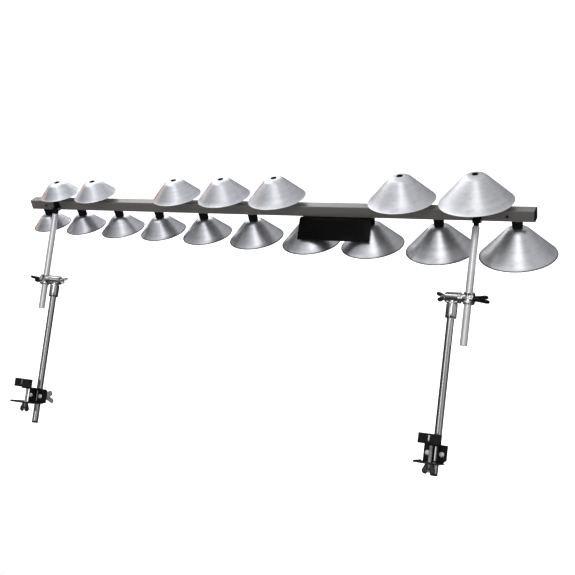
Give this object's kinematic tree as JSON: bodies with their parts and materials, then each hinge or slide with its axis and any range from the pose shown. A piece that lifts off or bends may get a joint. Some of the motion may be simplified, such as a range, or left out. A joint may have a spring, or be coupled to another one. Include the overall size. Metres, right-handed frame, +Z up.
{
  "type": "metallophone",
  "caption": "Chromatic row of turned aluminium cone bells above and below a square beam, on two jointed arms that clamp to a rail and set its height and tilt.",
  "frame": {"origin": "On the underside of the left clamp's rubber pad, the face that sits on the rail, 10 mm behind the pad's front and on the middle of its width.", "axes": "+X runs along the beam from the small bells to the large ones, +Y from the audience to the player, +Z up. The rods of both arms stand along Z and the beam is rolled 38 degrees about X, so the bells' crowns lean towards -Y, away from the player."},
  "size_m": [1.6555, 0.2511, 0.7992],
  "materials": {
    "anodised_beam": "dark grey-brown anodised tube, satin",
    "black_casting": "black powder-coated casting, satin",
    "black_plastic": "black moulded plug, matt",
    "black_rubber": "black rubber, matt",
    "bright_aluminium": "pale drawn aluminium tube, satin",
    "chrome": "bright chrome plating",
    "dark_steel": "blackened steel, worn at the edges",
    "sign_black": "black painted sheet, semi-gloss, bare",
    "spun_aluminium": "turned aluminium, satin, with fine rings round the axis"
  },
  "bodies": {
    "beam": {"beam_tube": "anodised_beam", "bell_01": "spun_aluminium", "bell_02": "spun_aluminium", "bell_03": "spun_aluminium", "bell_04": "spun_aluminium", "bell_05": "spun_aluminium", "bell_06": "spun_aluminium", "bell_07": "spun_aluminium", "bell_08": "spun_aluminium", "bell_09": "spun_aluminium", "bell_10": "spun_aluminium", "bell_11": "spun_aluminium", "bell_12": "spun_aluminium", "bell_13": "spun_aluminium", "bell_14": "spun_aluminium", "bell_15": "spun_aluminium", "bell_16": "spun_aluminium", "bell_17": "spun_aluminium", "bell_hanger_01": "black_rubber", "bell_hanger_03": "black_rubber", "bell_hanger_05": "black_rubber", "bell_hanger_06": "black_rubber", "bell_hanger_08": "black_rubber", "bell_hanger_10": "black_rubber", "bell_hanger_12": "black_rubber", "bell_hanger_13": "black_rubber", "bell_hanger_15": "black_rubber", "bell_hanger_17": "black_rubber", "end_cap_left": "black_plastic", "end_cap_right": "black_plastic", "left_pivot_bracket": "black_casting", "right_pivot_bracket": "black_casting", "sign_plate": "sign_black"},
    "left_upper_rod": {"left_upper_rod": "bright_aluminium"},
    "left_eye": {"left_tilter_head": "chrome"},
    "left_eye_screw": {"left_eye_wing_screw": "dark_steel"},
    "left_lower_arm": {"left_tilter_base": "chrome", "left_lower_rod": "chrome"},
    "left_tilt_screw": {"left_tilt_wing_screw": "chrome"},
    "left_clamp": {"left_clamp_jaw": "black_casting", "left_clamp_back": "black_casting", "left_jaw_pad": "black_rubber", "left_jaw_screw": "chrome"},
    "left_rod_lock": {"left_rod_wing_bolt": "chrome"},
    "left_jaw": {"left_jaw_plate": "dark_steel"},
    "left_jaw_nut": {"left_jaw_wing_nut": "dark_steel"},
    "right_upper_rod": {"right_upper_rod": "bright_aluminium"},
    "right_eye": {"right_tilter_head": "chrome"},
    "right_eye_screw": {"right_eye_wing_screw": "dark_steel"},
    "right_lower_arm": {"right_tilter_base": "chrome", "right_lower_rod": "chrome"},
    "right_tilt_screw": {"right_tilt_wing_screw": "chrome"},
    "right_clamp": {"right_clamp_jaw": "black_casting", "right_clamp_back": "black_casting", "right_jaw_pad": "black_rubber", "right_jaw_screw": "chrome"},
    "right_rod_lock": {"right_rod_wing_bolt": "chrome"},
    "right_jaw": {"right_jaw_plate": "dark_steel"},
    "right_jaw_nut": {"right_jaw_wing_nut": "dark_steel"}
  },
  "joints": [
    {"name": "left_rod_swing", "type": "hinge", "parent": "beam", "child": "left_upper_rod", "pos_m": [-0.0395, 0.078, 0.571], "axis": [1, 0, 0], "range_deg": [-50, 17]},
    {"name": "left_eye_slide", "type": "slide", "parent": "left_upper_rod", "child": "left_eye", "axis": [0, 0, 1], "range_m": [-0.07, 0.045]},
    {"name": "left_eye_screw_turn", "type": "hinge", "parent": "left_eye", "child": "left_eye_screw", "pos_m": [-0.0395, 0.078, 0.343], "axis": [-1, 0, 0], "range_deg": [0, 360]},
    {"name": "left_tilt", "type": "hinge", "parent": "left_eye", "child": "left_lower_arm", "pos_m": [-0.0395, 0.078, 0.343], "axis": [1, 0, 0], "range_deg": [-90, 75]},
    {"name": "left_tilt_screw_turn", "type": "hinge", "parent": "left_lower_arm", "child": "left_tilt_screw", "pos_m": [-0.0395, 0.078, 0.343], "axis": [1, 0, 0], "range_deg": [0, 360]},
    {"name": "left_height_slide", "type": "slide", "parent": "left_lower_arm", "child": "left_clamp", "axis": [0, 0, 1], "range_m": [-0.025, 0.18]},
    {"name": "left_rod_lock_turn", "type": "hinge", "parent": "left_clamp", "child": "left_rod_lock", "pos_m": [0, 0.078, -0.024], "axis": [0, 1, 0], "range_deg": [0, 360]},
    {"name": "left_jaw_close", "type": "slide", "parent": "left_clamp", "child": "left_jaw", "axis": [0, 0, 1], "range_m": [-0.005, 0.037]},
    {"name": "left_jaw_nut_turn", "type": "hinge", "parent": "left_jaw", "child": "left_jaw_nut", "pos_m": [0, 0.0215, -0.072], "axis": [0, 0, 1], "range_deg": [-1440.5, 10656.5]},
    {"name": "right_rod_swing", "type": "hinge", "parent": "beam", "child": "right_upper_rod", "pos_m": [1.30421, 0.078, 0.571], "axis": [1, 0, 0], "range_deg": [-50, 17]},
    {"name": "right_eye_slide", "type": "slide", "parent": "right_upper_rod", "child": "right_eye", "axis": [0, 0, 1], "range_m": [-0.07, 0.045]},
    {"name": "right_eye_screw_turn", "type": "hinge", "parent": "right_eye", "child": "right_eye_screw", "pos_m": [1.30421, 0.078, 0.371], "axis": [1, 0, 0], "range_deg": [0, 360]},
    {"name": "right_tilt", "type": "hinge", "parent": "right_eye", "child": "right_lower_arm", "pos_m": [1.30421, 0.078, 0.371], "axis": [1, 0, 0], "range_deg": [-90, 75]},
    {"name": "right_tilt_screw_turn", "type": "hinge", "parent": "right_lower_arm", "child": "right_tilt_screw", "pos_m": [1.30421, 0.078, 0.371], "axis": [-1, 0, 0], "range_deg": [0, 360]},
    {"name": "right_height_slide", "type": "slide", "parent": "right_lower_arm", "child": "right_clamp", "axis": [0, 0, 1], "range_m": [-0.025, 0.18]},
    {"name": "right_rod_lock_turn", "type": "hinge", "parent": "right_clamp", "child": "right_rod_lock", "pos_m": [1.2647, 0.078, -0.024], "axis": [0, 1, 0], "range_deg": [0, 360]},
    {"name": "right_jaw_close", "type": "slide", "parent": "right_clamp", "child": "right_jaw", "axis": [0, 0, 1], "range_m": [-0.005, 0.037]},
    {"name": "right_jaw_nut_turn", "type": "hinge", "parent": "right_jaw", "child": "right_jaw_nut", "pos_m": [1.2647, 0.0215, -0.072], "axis": [0, 0, 1], "range_deg": [-1440.5, 10656.5]}
  ],
  "couplings": [
    {"joint": "left_jaw_nut_turn", "follows": "left_jaw_close", "rad_per_m": 5026.5},
    {"joint": "right_jaw_nut_turn", "follows": "right_jaw_close", "rad_per_m": 5026.5}
  ]
}
